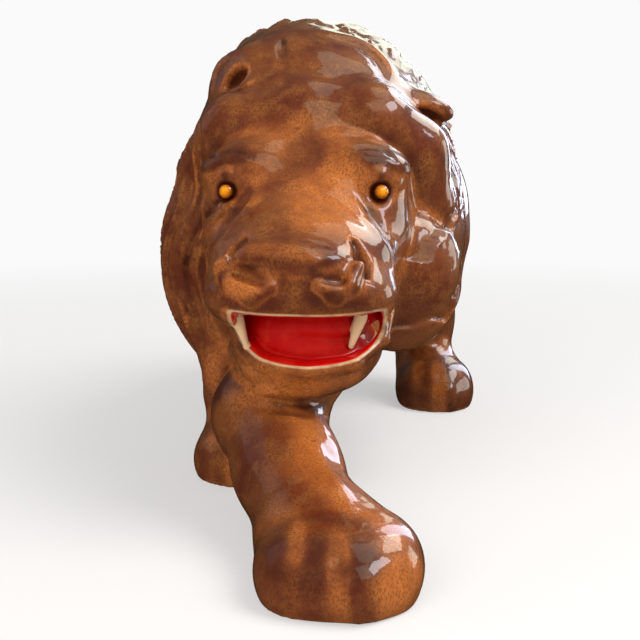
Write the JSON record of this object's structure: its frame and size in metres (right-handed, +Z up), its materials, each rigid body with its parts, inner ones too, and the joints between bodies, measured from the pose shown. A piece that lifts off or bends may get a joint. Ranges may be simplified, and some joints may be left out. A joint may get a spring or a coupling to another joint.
{
  "type": "ceramic lion sculpture",
  "caption": "Glazed earthenware figure of a prowling lion with a full mane, an open mouth and inset glass eyes, standing on its paws.",
  "frame": {"origin": "on the surface that the paws stand on, under the middle of the figure's box", "axes": "-Y the way the lion walks and looks, +X to its left side, +Z up; the figure is longest along Y"},
  "size_m": [0.181, 0.496, 0.2711],
  "materials": {
    "glaze": "clear gloss glaze over mottled brown",
    "eye_glass": "polished amber glass"
  },
  "bodies": {
    "root": {"lion_body": "glaze", "eye_left": "eye_glass", "eye_right": "eye_glass"}
  },
  "joints": []
}
